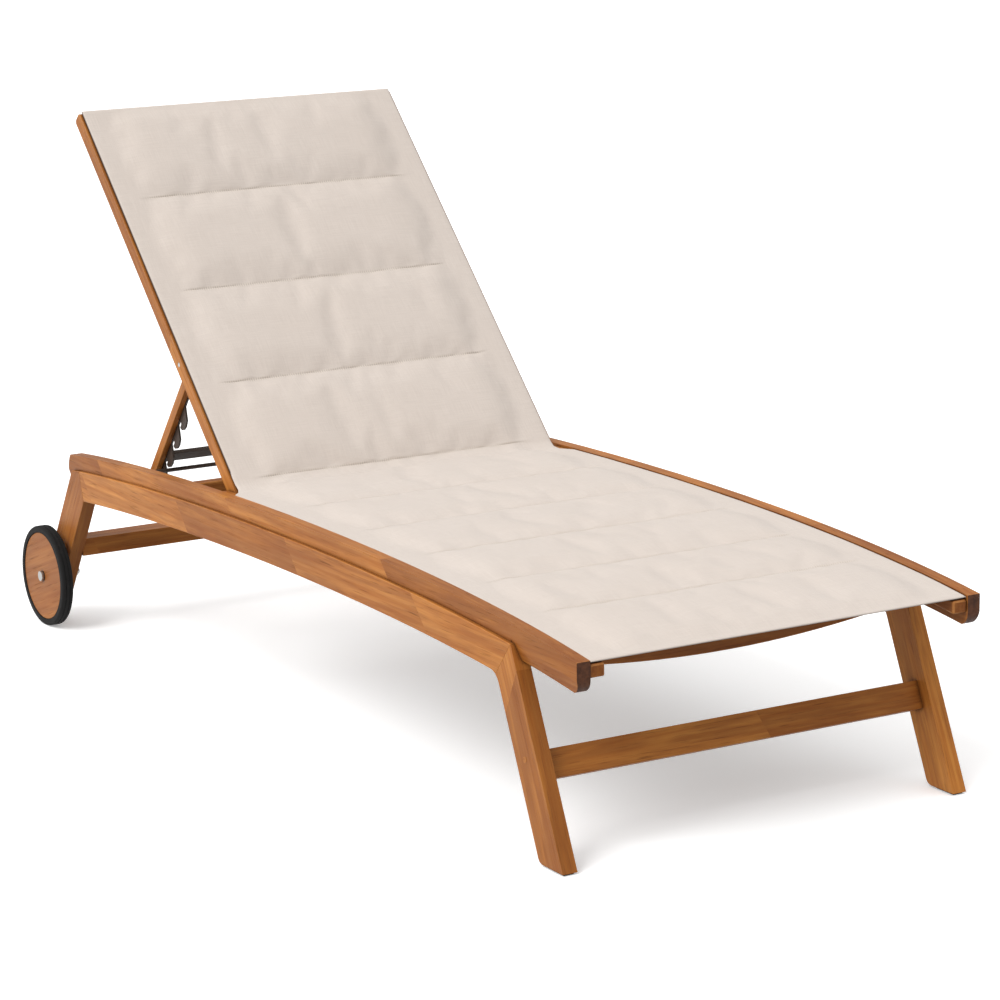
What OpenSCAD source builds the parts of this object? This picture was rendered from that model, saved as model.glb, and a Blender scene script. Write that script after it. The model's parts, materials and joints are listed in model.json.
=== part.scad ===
// Reclining sun lounger: hardwood frame on two legs and two wheels, quilted sling seat and
// backrest, and a folding prop whose ratchets hook over a steel rod.
// Y runs from the foot end (-Y) to the head end (+Y), X is the width, Z is up.
// Distances "along" the lounger are measured from the foot end of the side rails.

/* [Frame] */
// Width over the outer faces of the two side rails
frame_w = 700; // [640:5:760]
// Length of the side rails
rail_len = 1693; // [1600:1:1800]
// Thickness of a side rail, across the lounger
rail_th = 22.5; // [20:0.5:28]
// Depth of the rail above the leg frame
rail_depth = 26.5; // [24:0.5:32]
// Depth of the rail at its two free ends
rail_end_depth = 48; // [42:1:54]
// Height of the rail's top edge at the foot end
foot_end_h = 316.5; // [300:0.5:340]
// Height of the rail's top edge at the head end
head_end_h = 315.5; // [300:0.5:340]
// Depth of the bowed board under each rail
lower_rail_depth = 53; // [45:1:60]

/* [Legs] */
// Thickness of the leg frame boards, across the lounger
leg_th = 25; // [22:0.5:30]
// How far the leg frame stands out from the side rail
leg_proud = 6; // [2:0.5:8]
// Width of the front leg board, seen from the side
leg_w = 57; // [50:1:62]
// Width of the rear leg board, seen from the side
rear_leg_w = 64; // [56:1:66]
// Front edge of the front foot, along the lounger
front_foot_at = 31; // [20:1:45]
// Lean of the front leg from the vertical
front_leg_lean = 23.8; // [20:0.2:26]
// Lean of the rear leg from the vertical
rear_leg_lean = 31.8; // [28:0.2:34]
// Front edge of the rear leg, along the lounger, at axle height
rear_leg_at = 1717; // [1705:1:1725]
// Radius of the inner corner between the front leg and the board above it
corner_r = 28; // [20:1:32]

/* [Cross bars] */
// Middle of the front stretcher's front face, along the lounger
front_stretcher_at = 115.5; // [111:0.5:120]
// Middle height of the front stretcher's front face
front_stretcher_z = 139; // [128:1:150]
// Front face of the rear stretcher, along the lounger
rear_stretcher_at = 1687; // [1684:1:1700]
// Middle height of the rear stretcher
rear_stretcher_z = 144; // [138:1:150]
// Sag of the bowed bars under the seat
bow_sag = 27; // [15:1:32]

/* [Wheels] */
// Radius of the tyre
tyre_r = 90; // [80:1:95]
// Radius of the wooden disc
disc_r = 78.5; // [70:0.5:82]
// Width of the tyre
tyre_w = 22; // [18:1:26]
// Wheel axle, along the lounger
axle_at = 1738; // [1730:1:1745]

/* [Backrest] */
// Half width of the backrest over its posts
back_half_w = 308; // [300:1:312]
// Length of the backrest above its hinge
back_len = 811; // [780:1:840]
// Thickness of a backrest post, across the lounger
post_th = 22; // [18:1:24]
// Angle of the backrest as stored, from the horizontal
back_angle = 45.4; // [40:0.2:50]
// Hinge of the backrest, along the lounger
hinge_at = 1120; // [1100:1:1140]

/* [Prop] */
// Pivot of the prop on the post, measured from the backrest hinge
prop_pivot_at = 276.5; // [270:0.5:285]
// Angle of the prop struts below the horizontal, as stored
prop_angle = 52; // [50:0.2:54]
// Length of a prop strut from its pivot
prop_len = 305; // [298:1:310]
// Spacing of the ratchet hooks
hook_pitch = 47.4; // [44:0.1:50]

/* [Hidden] */

$fn = 64;
wood = [0.74, 0.50, 0.30];
wood_dark = [0.62, 0.40, 0.23];
fabric = [0.87, 0.82, 0.77];
steel_dark = [0.24, 0.20, 0.17];
steel_bright = [0.72, 0.72, 0.70];
rubber = [0.10, 0.10, 0.11];

left = -1;
right = 1;
gap = 0.3;              // running gap between soft and hard neighbours
eps = 0.01;
big = 1000;

// overall length is from the foot end of the rails to the back of the tyres
foot_y = -(axle_at + tyre_r) / 2;

rail_out = frame_w / 2;
rail_in = rail_out - rail_th;
leg_out = rail_out + leg_proud;
leg_in = leg_out - leg_th;
pad_h = 3;

// rail curve: a cubic through the two ends, pulled up by two handles
curve_steps = 40;
handle_foot = [480, 379.5];
handle_head = [rail_len - 353, 354];
function bezier(t) = pow(1 - t, 3) * [0, foot_end_h] + 3 * t * pow(1 - t, 2) * handle_foot
    + 3 * t * t * (1 - t) * handle_head + pow(t, 3) * [rail_len, head_end_h];
function curve(drop) = [for (i = [0 : curve_steps]) bezier(i / curve_steps) - [0, drop]];
function reversed(list) = [for (i = [len(list) - 1 : -1 : 0]) list[i]];
function band(top, bottom) = concat(curve(top), reversed(curve(bottom)));

// the front leg leans forward going down, the rear leg leans backward
front_slope = tan(front_leg_lean);
rear_slope = tan(rear_leg_lean);
front_leg_run = leg_w / cos(front_leg_lean);
rear_leg_run = rear_leg_w / cos(rear_leg_lean);
axle_z = tyre_r;
rear_leg_end = 52;      // height of the centre of the rear leg's rounded end
function front_edge(z) = front_foot_at + front_slope * z;
function rear_edge(z) = rear_leg_at - rear_slope * (z - axle_z);

// lines of the leg frame: a point on each, and the normal on its right or lower side
front_normal = [cos(front_leg_lean), -sin(front_leg_lean)];
rear_normal = [-cos(rear_leg_lean), -sin(rear_leg_lean)];
function chord_normal(list, i) = let (d = (list[i + 1] - list[i]) / norm(list[i + 1] - list[i]))
    [d[1], -d[0]];
board_top = curve(rail_depth);
board_bottom = curve(rail_depth + lower_rail_depth);
top_at_front = 4;       // points of the curve that stand over the legs' corners
bottom_at_front = 5;
mitre_at_rear = curve_steps - 2;
bottom_at_rear = curve_steps - 3;
top_at_rear = curve_steps - 1;

// centre of the circle of radius r that touches two lines, on the side their normals point to
function meet(p1, n1, p2, n2, r) = let (a = r + n1 * p1, b = r + n2 * p2, det = n1[0] * n2[1] - n1[1] * n2[0])
    [(a * n2[1] - b * n1[1]) / det, (n1[0] * b - n2[0] * a) / det];

// the round inner corner: its centre, where it leaves the leg and where it meets the board
front_rear_edge = [front_edge(0) + front_leg_run, 0];
arc_centre = meet(front_rear_edge, front_normal, board_bottom[bottom_at_front],
    chord_normal(board_bottom, bottom_at_front), corner_r);
arc_on_leg = arc_centre - corner_r * front_normal;
arc_on_board = arc_centre - corner_r * chord_normal(board_bottom, bottom_at_front);

// mitre joints: top corner under the rail, and the inner corner
front_mitre_out = meet([front_edge(0), 0], front_normal, board_top[top_at_front],
    chord_normal(board_top, top_at_front), 0);
front_mitre_in = (arc_on_leg + arc_on_board) / 2;
rear_mitre_out = board_top[mitre_at_rear];
rear_mitre_in = meet([rear_edge(0), 0], rear_normal, board_bottom[bottom_at_rear],
    chord_normal(board_bottom, bottom_at_rear), 0);
rear_top_corner = meet([rear_edge(0) + rear_leg_run, 0], rear_normal, board_top[top_at_rear],
    chord_normal(board_top, top_at_rear), 0);

// hinge and prop geometry
hinge_z = 334;
post_depth = 30;
post_back = -15;        // rear face of a post, below the hinge line
sling_t = 5;            // sling thickness
sling_top = 15;         // face of the back sling above the hinge line
post_front = sling_top - sling_t - gap;
hinge_r = 4;
prop_drop = -3;         // prop pivot below the hinge line, so the folded prop clears the sling
strut_gap = 1;
strut_th = 11;
strut_depth = 17;
plate_th = 3.5;
strut_out = back_half_w - post_th - strut_gap;
strut_in = strut_out - strut_th;
rod_r = 3.5;
hooks = 4;
first_hook = 141.8;     // tip of the highest hook, measured down the strut from its pivot
rod_along = first_hook + 2 * hook_pitch + 10.2;     // the rod stands clear under the third hook
rod_off = 23.3;
post_dir = [cos(back_angle), sin(back_angle)];
post_normal = [-sin(back_angle), cos(back_angle)];
prop_dir = [cos(prop_angle), -sin(prop_angle)];
prop_front = [-sin(prop_angle), -cos(prop_angle)];
prop_pivot = [hinge_at, hinge_z] + prop_pivot_at * post_dir + prop_drop * post_normal;
rod_pos = prop_pivot + rod_along * prop_dir + rod_off * prop_front;

axle_r = 5;
wheel_gap = 13;
wheel_in = leg_out + wheel_gap;
wheel_mid = wheel_in + tyre_w / 2;
disc_th = 19;
bush_r = 8;

// ---- placing ----

// everything inside is drawn with Y measured along the lounger from its foot end
module along() translate([0, foot_y, 0]) children();

// a side outline (Y, Z) made into a board from x = inner to x = outer on one side
module side_board(side, inner, outer) {
    x = side < 0 ? -outer : inner;
    along() translate([x, 0, 0]) rotate([90, 0, 90]) linear_extrude(outer - inner) children();
}

// a round bar along X between two distances from the middle, on one side
module cross_round(side, inner, outer, r, at, z) {
    x = side < 0 ? -outer : inner;
    along() translate([x, at, z]) rotate([0, 90, 0]) cylinder(r = r, h = outer - inner);
}

// the backrest's own frame: X across, Y up the backrest, Z towards the sitter
module on_backrest() along() translate([0, hinge_at, hinge_z]) rotate([back_angle, 0, 0]) children();

// a board on the backrest from x = inner to x = outer, with its outline in (Y, Z)
module back_board(side, inner, outer) {
    x = side < 0 ? -outer : inner;
    on_backrest() translate([x, 0, 0]) rotate([90, 0, 90]) linear_extrude(outer - inner) children();
}

// the prop's own frame: X across, Y down the strut from its pivot, Z away from its front face
module on_prop() along() translate([0, prop_pivot[0], prop_pivot[1]]) rotate([-prop_angle, 0, 0])
    children();

module prop_board(side, inner, outer) {
    x = side < 0 ? -outer : inner;
    on_prop() translate([x, 0, 0]) rotate([90, 0, 90]) linear_extrude(outer - inner) children();
}

// ---- side rails ----

nose_r = 19;            // rounded lower corner of the foot end
tail_bulge = 9;         // the head end is a shallow bulge
bevel = 5;              // the free ends are bevelled under the band
bevel_h = 22;

module rail_outline() {
    // the full-length band, and the deeper ends beyond the leg frame
    polygon(band(0, rail_depth));
    difference() {
        polygon(band(rail_depth - eps, rail_end_depth));
        polygon([[front_edge(380), 380], [front_edge(200), 200], [rear_edge(200) + rear_leg_run, 200],
            [rear_edge(380) + rear_leg_run, 380]]);
    }
}

// what the rounded ends take away
module rail_end_cut() {
    difference() {
        translate([-eps, foot_end_h - rail_end_depth - 10]) square([nose_r, nose_r + 10]);
        translate([nose_r, foot_end_h - rail_end_depth + nose_r + 1]) circle(r = nose_r);
    }
    tail_z = head_end_h - rail_end_depth / 2;
    tail_r = (pow(rail_end_depth / 2 + 2, 2) + pow(tail_bulge, 2)) / (2 * tail_bulge);
    difference() {
        translate([rail_len - tail_bulge, tail_z - 40]) square([40, 80]);
        translate([rail_len - tail_r, tail_z]) circle(r = tail_r, $fn = 160);
    }
}

// a wedge that bevels the outer face of a free end below the band
module end_bevel(side, at, lean) {
    along() translate([side * rail_out, at[0], at[1]]) rotate([lean, 0, 0])
        rotate([0, side * atan(bevel / bevel_h), 0])
        translate([side < 0 ? -20 : 0, -big / 2, -60]) cube([20, big, 60]);
}

module side_rail(side) {
    color(wood) difference() {
        side_board(side, rail_in, rail_out) difference() {
            rail_outline();
            rail_end_cut();
        }
        intersection() {
            end_bevel(side, bezier(0) - [0, rail_depth], 7.5);
            along() translate([-big / 2, -10, 0]) cube([big, 185, 400]);
        }
        intersection() {
            end_bevel(side, bezier(1) - [0, rail_depth], -7.2);
            along() translate([-big / 2, rail_len - 60, 0]) cube([big, 100, 400]);
        }
        cross_round(side, rail_in - 1, rail_out - 8, rod_r + 0.05, rod_pos[0], rod_pos[1]);
        cross_round(side, rail_in - 1, rail_out - 8, hinge_r + 0.05, hinge_at, hinge_z);
    }
}
module side_rail_left() side_rail(left);
module side_rail_right() side_rail(right);

// ---- leg frames: front leg, bowed board and rear leg, meeting at mitres ----

// the region between two lines and a circle that touches both: fills an inner corner or rounds an outer one
module corner_arc(p1, n1, p2, n2, r) {
    centre = meet(p1, n1, p2, n2, r);
    corner = meet(p1, n1, p2, n2, 0);
    difference() {
        polygon([centre - r * n1, corner + (corner - centre) / norm(corner - centre), centre - r * n2]);
        translate(centre) circle(r = r);
    }
}

top_round = 9;
heel_round = 14;

// the inner corner's circle, taken away from both boards that meet there
module inner_round() translate(arc_centre) circle(r = corner_r);

module front_leg_shape() difference() {
    polygon([[front_edge(pad_h), pad_h], [front_edge(pad_h) + front_leg_run, pad_h], arc_on_leg,
        front_mitre_in, front_mitre_out]);
    inner_round();
    corner_arc([front_edge(0), 0], front_normal, board_top[top_at_front],
        chord_normal(board_top, top_at_front), top_round);
    corner_arc(front_rear_edge, -front_normal, [0, pad_h], [0, 1], heel_round);
}

module lower_rail_shape() difference() {
    polygon(concat([front_mitre_out], [for (i = [top_at_front + 1 : mitre_at_rear]) board_top[i]],
        [rear_mitre_in], [for (i = [bottom_at_rear : -1 : bottom_at_front + 1]) board_bottom[i]],
        [arc_on_board, front_mitre_in]));
    inner_round();
    corner_arc([front_edge(0), 0], front_normal, board_top[top_at_front],
        chord_normal(board_top, top_at_front), top_round);
}

// the rear leg ends in a half round below the axle
module rear_leg_shape() {
    centre = [rear_edge(rear_leg_end) + rear_leg_run / 2, rear_leg_end];
    half = rear_leg_w / 2 * [cos(rear_leg_lean), sin(rear_leg_lean)];
    down = rear_leg_w / 2 * [sin(rear_leg_lean), -cos(rear_leg_lean)];
    difference() {
        polygon([rear_mitre_out, board_top[top_at_rear], rear_top_corner, centre + half + down,
            centre - half + down, rear_mitre_in]);
        difference() {
            polygon([centre - 1.1 * half, centre + 1.1 * half, centre + 1.1 * half + 1.1 * down,
                centre - 1.1 * half + 1.1 * down]);
            translate(centre) circle(r = rear_leg_w / 2);
        }
        corner_arc([rear_edge(0) + rear_leg_run, 0], rear_normal, board_top[top_at_rear],
            chord_normal(board_top, top_at_rear), top_round - 2);
    }
}

screw_r = 3;
plug_r = 5;
plug_t = 4;
front_screw_at = [front_stretcher_at, front_stretcher_z] + 11 * front_normal
    + 13 * [sin(front_leg_lean), cos(front_leg_lean)];
rear_screw_at = [rear_stretcher_at + 22, rear_stretcher_z];

// holes for the stretcher screws and their plugs, right through the leg
module screw_holes(side, at) {
    cross_round(side, leg_in - 1, leg_out - plug_t, screw_r, at[0], at[1]);
    cross_round(side, leg_out - plug_t - eps, leg_out + 1, plug_r, at[0], at[1]);
}

module front_leg(side) color(wood) difference() {
    side_board(side, leg_in, leg_out) front_leg_shape();
    screw_holes(side, front_screw_at);
}
module front_leg_left() front_leg(left);
module front_leg_right() front_leg(right);

module rear_leg(side) color(wood) difference() {
    side_board(side, leg_in, leg_out) rear_leg_shape();
    screw_holes(side, rear_screw_at);
    cross_round(side, leg_in - 1, leg_out + 1, axle_r, axle_at, axle_z);
}
module rear_leg_left() rear_leg(left);
module rear_leg_right() rear_leg(right);

module lower_rail(side) color(wood) side_board(side, leg_in, leg_out) lower_rail_shape();
module lower_rail_left() lower_rail(left);
module lower_rail_right() lower_rail(right);

module foot_pads() color(rubber) for (side = [left, right])
    side_board(side, leg_in + 4, leg_out - 4)
        translate([front_edge(0) + 5, 0]) square([front_leg_run - 20, pad_h]);

// ---- stretchers: the front one is turned to lie in line with the leaning legs ----

front_stretcher_h = 43;
front_stretcher_t = 22;
rear_stretcher_h = 31;
rear_stretcher_t = 44;

module stretcher(at, z, depth, height, lean, screw) color(wood_dark) difference() {
    along() translate([0, at, z]) rotate([-lean, 0, 0]) translate([-leg_in, 0, -height / 2])
        cube([2 * leg_in, depth, height]);
    for (side = [left, right])
        cross_round(side, leg_in - 45, leg_in + 1, screw_r, screw[0], screw[1]);
}
module front_stretcher() stretcher(front_stretcher_at, front_stretcher_z, front_stretcher_t,
    front_stretcher_h, front_leg_lean, front_screw_at);
module rear_stretcher() stretcher(rear_stretcher_at, rear_stretcher_z, rear_stretcher_t,
    rear_stretcher_h, 0, rear_screw_at);

module stretcher_screws() color(steel_bright) for (side = [left, right], at = [front_screw_at, rear_screw_at])
    cross_round(side, leg_in - 44, leg_out - plug_t, screw_r, at[0], at[1]);

module stretcher_plugs() color(wood_dark) for (side = [left, right], at = [front_screw_at, rear_screw_at])
    cross_round(side, leg_out - plug_t, leg_out + 0.4, plug_r, at[0], at[1]);

// ---- parts under the seat sling ----

seat_end = hinge_at - 22;   // where the seat sling stops, in front of the hinge
batten_t = 25;
batten_top = 6.5;
batten_depth = 20;

// side outline of a bowed strip along the seat, between two depths below the rail top
module seat_strip(top, bottom, from, to) intersection() {
    polygon(band(top, bottom));
    translate([from, 0]) square([to - from, 500]);
}

module sling_batten(side) color(wood_dark)
    side_board(side, rail_in - batten_t, rail_in)
        seat_strip(batten_top, batten_top + batten_depth, 2, seat_end - 2);
module sling_batten_left() sling_batten(left);
module sling_batten_right() sling_batten(right);

// a bowed bar: its outline in (X, Z) is a ring sector between the two leg frames
bow_t = 17;
bow_w = 44;
module bow(at, end_z) {
    half = leg_in;
    r = (half * half + bow_sag * bow_sag) / (2 * bow_sag);
    color(wood_dark) along() intersection() {
        translate([0, at + bow_w, end_z + r - bow_sag]) rotate([90, 0, 0]) difference() {
            cylinder(r = r + bow_t / 2, h = bow_w, $fn = 360);
            translate([0, 0, -1]) cylinder(r = r - bow_t / 2, h = bow_w + 2, $fn = 360);
        }
        translate([-half, at - 1, 0]) cube([2 * half, bow_w + 2, end_z + 40]);
    }
}
front_bow_at = 160;
front_bow_z = 281;
middle_bow_at = 620;
middle_bow_z = 300;
module front_bow() bow(front_bow_at, front_bow_z);
module middle_bow() bow(middle_bow_at, middle_bow_z);

// cross bar behind the hinge, low enough for the backrest to lie flat above it
crossbar_at = 1331;
crossbar_t = 24;
crossbar_top = 318;
crossbar_h = 34;
module rear_crossbar() color(wood_dark) along()
    translate([-rail_in, crossbar_at, crossbar_top - crossbar_h])
        cube([2 * rail_in, crossbar_t, crossbar_h]);

block_len = 46;
module hinge_block(side) color(wood_dark) difference() {
    side_board(side, back_half_w + 0.6, rail_in) seat_strip(4, 44, seat_end, seat_end + block_len);
    cross_round(side, rail_in - 30, rail_in + 1, hinge_r + 0.05, hinge_at, hinge_z);
}
module hinge_block_left() hinge_block(left);
module hinge_block_right() hinge_block(right);

module catch_rod() color(steel_dark) along() translate([-rail_out + 8.5, rod_pos[0], rod_pos[1]])
    rotate([0, 90, 0]) cylinder(r = rod_r, h = 2 * rail_out - 17);

// ---- soft panels ----

module seat_sling() color(fabric) side_board(right, -rail_in + gap, rail_in - gap)
    seat_strip(1, 1 + sling_t, 1, seat_end - 1);

sling_half = back_half_w - 3;
module back_sling() color(fabric) on_backrest()
    translate([-sling_half, 6, post_front + gap]) cube([2 * sling_half, back_len - 4, sling_t]);

// ---- backrest frame ----

module post_outline() {
    translate([0, (post_front + post_back) / 2]) circle(d = post_front - post_back);
    translate([0, post_back]) square([back_len - 6, post_front - post_back]);
    translate([back_len - 6 - eps, post_back + 6]) square([6, post_front - post_back - 12]);
    for (z = [post_back + 6, post_front - 6]) translate([back_len - 6, z]) circle(r = 6);
}
module back_post(side) color(wood) difference() {
    back_board(side, back_half_w - post_th, back_half_w) post_outline();
    on_backrest_hole(side, 0, 0, hinge_r, 0, back_half_w + 1);
    on_backrest_hole(side, prop_pivot_at, prop_drop, prop_bolt_r, 0, back_half_w + 1);
}
module back_post_left() back_post(left);
module back_post_right() back_post(right);

// a round hole or pin along X on the backrest
module on_backrest_hole(side, at, z, r, inner, outer) {
    x = side < 0 ? -outer : inner;
    on_backrest() translate([x, at, z]) rotate([0, 90, 0]) cylinder(r = r, h = outer - inner);
}

prop_bolt_r = 4;
bar_half = back_half_w - post_th;
module back_bar(at, w) color(wood_dark) on_backrest()
    translate([-bar_half, at, post_back + 4]) cube([2 * bar_half, w, post_front - post_back - 8]);
module back_top_bar() back_bar(back_len - 40, 34);
module back_lower_bar() back_bar(34, 26);

// hinge bolts: fixed in the posts, running in the blocks and rails
module hinge_bolts() color(steel_bright) for (side = [left, right]) {
    on_backrest_hole(side, 0, 0, hinge_r, back_half_w - post_th, rail_out - 9);
    on_backrest_hole(side, 0, 0, hinge_r + 3.5, back_half_w - post_th - 3.5, back_half_w - post_th);
}

// ---- prop ----

module strut_outline() {
    circle(d = strut_depth);
    translate([0, -strut_depth / 2]) square([prop_len - 5, strut_depth]);
    translate([prop_len - 6, -strut_depth / 2 + 5]) square([6, strut_depth - 10]);
    for (z = [-strut_depth / 2 + 5, strut_depth / 2 - 5]) translate([prop_len - 5, z]) circle(r = 5);
}
module prop_strut(side) color(wood) difference() {
    prop_board(side, strut_in, strut_out) strut_outline();
    on_prop_hole(side, 0, 0, prop_bolt_r + 0.05, 0, strut_out + 1);
}
module prop_strut_left() prop_strut(left);
module prop_strut_right() prop_strut(right);

module on_prop_hole(side, at, z, r, inner, outer) {
    x = side < 0 ? -outer : inner;
    on_prop() translate([x, at, z]) rotate([0, 90, 0]) cylinder(r = r, h = outer - inner);
}

// pivot bolts: fixed in the posts, the struts turn on them
module prop_pivot_bolts() color(steel_bright) for (side = [left, right]) {
    on_backrest_hole(side, prop_pivot_at, prop_drop, prop_bolt_r, strut_in - 1, back_half_w);
    on_backrest_hole(side, prop_pivot_at, prop_drop, prop_bolt_r + 3.5, strut_in - 4.5, strut_in - 1);
}

// ratchet plate in the strut's own frame: Z is negative in front of the strut
plate_back = -7;
plate_front = 9.5;
plate_from = 80;
finger_t = 14;          // thickness of a hook's finger
slot_w = 7.7;           // width of the slot the rod seats in

// one hook: a neck that slopes out from the plate, and a finger that hangs down in front of a slot
module hook(tip) {
    slot_r = slot_w / 2;
    inner = -plate_front - slot_w;
    outer = inner - finger_t;
    difference() {
        polygon([[tip - 43, -plate_front + 2], [tip - 41, -plate_front - 1.5], [tip - 27, outer + 3],
            [tip - 15, outer], [tip - 5, outer + 2], [tip, outer + 6], [tip + 1.5, inner - 4],
            [tip + 1, inner], [tip - 2, inner], [tip - 2, -plate_front + 2]]);
        translate([tip - 4.5, inner + slot_r]) circle(r = slot_r, $fn = 32);
        translate([tip - 4.5, inner]) square([20, slot_w]);
    }
}
module ratchet(side) color(steel_dark) difference() {
    prop_board(side, strut_in - plate_th, strut_in) {
        translate([plate_from, -plate_front]) square([prop_len - 8 - plate_from, plate_front - plate_back]);
        for (i = [0 : hooks - 1]) hook(first_hook + i * hook_pitch);
    }
    for (at = rivet_at) on_prop_hole(side, at, 0, rivet_r, 0, strut_in + 1);
}
module ratchet_left() ratchet(left);
module ratchet_right() ratchet(right);

rivet_r = 2.5;
rivet_at = [92, 186, 287];
module ratchet_rivets() color(steel_bright) for (side = [left, right], at = rivet_at) {
    on_prop_hole(side, at, 0, rivet_r, strut_in - plate_th, strut_in);
    on_prop_hole(side, at, 0, rivet_r + 2, strut_in - plate_th - 1.5, strut_in - plate_th);
}

crosspiece_at = 228;
crosspiece_w = 19;
crosspiece_t = 8;
module prop_crosspiece() color(steel_dark) on_prop()
    translate([-strut_in + plate_th, crosspiece_at, -crosspiece_t / 2])
        cube([2 * (strut_in - plate_th), crosspiece_w, crosspiece_t]);

// ---- wheels ----

module wheel_ring(side, inner_r, outer_r, width, mid) {
    along() translate([side * mid, axle_at, axle_z]) rotate([0, 90, 0]) difference() {
        cylinder(r = outer_r, h = width, center = true, $fn = 128);
        cylinder(r = inner_r, h = width + 2, center = true, $fn = 128);
    }
}
module wheel_disc_left() color(wood) wheel_ring(left, bush_r, disc_r, disc_th, wheel_mid);
module wheel_disc_right() color(wood) wheel_ring(right, bush_r, disc_r, disc_th, wheel_mid);
module wheel_bush(side) color(rubber) wheel_ring(side, axle_r + 0.05, bush_r, disc_th + 1, wheel_mid);
module wheel_bush_left() wheel_bush(left);
module wheel_bush_right() wheel_bush(right);

// tyre: a ring with rounded tread corners
tread_r = 4;
module tyre(side) color(rubber) along() translate([side * wheel_mid, axle_at, axle_z]) rotate([0, 90, 0])
    rotate_extrude($fn = 128) {
        translate([disc_r, -tyre_w / 2]) square([tyre_r - disc_r - tread_r, tyre_w]);
        translate([disc_r, -tyre_w / 2 + tread_r]) square([tyre_r - disc_r, tyre_w - 2 * tread_r]);
        for (z = [-1, 1]) translate([tyre_r - tread_r, z * (tyre_w / 2 - tread_r)])
            circle(r = tread_r, $fn = 32);
    }
module tyre_left() tyre(left);
module tyre_right() tyre(right);

// axle bolt: head outside the wheel, spacer collar between wheel and leg
module axle(side) color(steel_bright) {
    head_in = wheel_in + tyre_w;
    cross_round(side, leg_in - 12, head_in + 1, axle_r, axle_at, axle_z);
    cross_round(side, head_in - 0.5, head_in + 4, axle_r + 4, axle_at, axle_z);
    cross_round(side, leg_out, wheel_in + 0.5, axle_r + 5, axle_at, axle_z);
}
module axle_left() axle(left);
module axle_right() axle(right);

module axle_nuts() color(steel_bright) for (side = [left, right]) difference() {
    cross_round(side, leg_in - 8, leg_in, axle_r + 4, axle_at, axle_z, $fn = 6);
    cross_round(side, leg_in - 9, leg_in + 1, axle_r, axle_at, axle_z);
}

side_rail_left();
side_rail_right();
lower_rail_left();
lower_rail_right();
front_leg_left();
front_leg_right();
rear_leg_left();
rear_leg_right();
front_stretcher();
rear_stretcher();
stretcher_screws();
stretcher_plugs();
sling_batten_left();
sling_batten_right();
front_bow();
middle_bow();
rear_crossbar();
hinge_block_left();
hinge_block_right();
catch_rod();
foot_pads();
axle_left();
axle_right();
axle_nuts();
seat_sling();
back_post_left();
back_post_right();
back_top_bar();
back_lower_bar();
back_sling();
hinge_bolts();
prop_strut_left();
prop_strut_right();
prop_crosspiece();
ratchet_left();
ratchet_right();
ratchet_rivets();
prop_pivot_bolts();
wheel_disc_left();
wheel_disc_right();
tyre_left();
tyre_right();
wheel_bush_left();
wheel_bush_right();
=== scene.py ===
"""Looks for the reclining sun lounger: bevelled hardwood boards, a quilted sling, metal and rubber parts."""
import json
import math

import bmesh
import bpy
import numpy as np
from mathutils import Matrix, Vector, noise


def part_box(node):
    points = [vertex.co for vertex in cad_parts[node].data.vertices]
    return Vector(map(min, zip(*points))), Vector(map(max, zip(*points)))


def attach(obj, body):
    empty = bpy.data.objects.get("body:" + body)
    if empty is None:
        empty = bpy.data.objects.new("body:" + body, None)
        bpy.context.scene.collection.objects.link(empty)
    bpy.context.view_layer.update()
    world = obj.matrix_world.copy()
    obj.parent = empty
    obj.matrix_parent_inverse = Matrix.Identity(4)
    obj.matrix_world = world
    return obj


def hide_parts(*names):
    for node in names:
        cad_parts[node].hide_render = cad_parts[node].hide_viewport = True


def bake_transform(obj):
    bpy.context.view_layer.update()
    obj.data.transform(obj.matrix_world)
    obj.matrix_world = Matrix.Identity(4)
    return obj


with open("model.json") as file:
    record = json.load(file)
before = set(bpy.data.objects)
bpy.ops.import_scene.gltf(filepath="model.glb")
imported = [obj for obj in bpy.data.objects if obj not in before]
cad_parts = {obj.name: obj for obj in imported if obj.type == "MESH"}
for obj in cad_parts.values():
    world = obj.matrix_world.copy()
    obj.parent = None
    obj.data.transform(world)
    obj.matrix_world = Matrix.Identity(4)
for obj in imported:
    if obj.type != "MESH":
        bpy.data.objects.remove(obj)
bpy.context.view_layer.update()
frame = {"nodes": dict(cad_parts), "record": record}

nodes = frame["nodes"]
body_of_node = {n: b for b, ns in frame["record"]["behaviour"]["bodies"].items() for n in ns}
slot_of_node = {p["node"]: p["material_slot"] for p in frame["record"]["subparts"]}

# ---- the lounger's own lines, in metres ----

FOOT_Y = -0.914                     # foot end of the side rails
# the rail top's Bezier points, as distance from the foot end and height
RAIL = [(0.0, 0.3165), (0.480, 0.3795), (1.340, 0.354), (1.693, 0.3155)]
HINGE = Vector((0, 0.206, 0.334))   # of the backrest
BACK_ANGLE = math.radians(45.4)     # of the backrest above level
BACK_LEN = 0.811                    # cloth on the backrest, from the hinge to its top edge
BACK_UP = Vector((0, math.cos(BACK_ANGLE), math.sin(BACK_ANGLE)))
BACK_OUT = Vector((0, -math.sin(BACK_ANGLE), math.cos(BACK_ANGLE)))
PROP_ANGLE = math.radians(52)
PROP_DOWN = Vector((0, math.cos(PROP_ANGLE), -math.sin(PROP_ANGLE)))
FRONT_LEG_LEAN = math.radians(23.8)     # from upright
REAR_LEG_LEAN = math.radians(31.8)
AXLE = Vector((0, 0.824, 0.090))
WHEEL_X = 0.380                     # middle of a wheel's width, from the centre line
SLING_TOP = 0.015                   # face of the back sling above the hinge line
SEAT_DROP = 0.001                   # seat sling below the rail top
QUARTER_TURN = math.pi / 2


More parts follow.
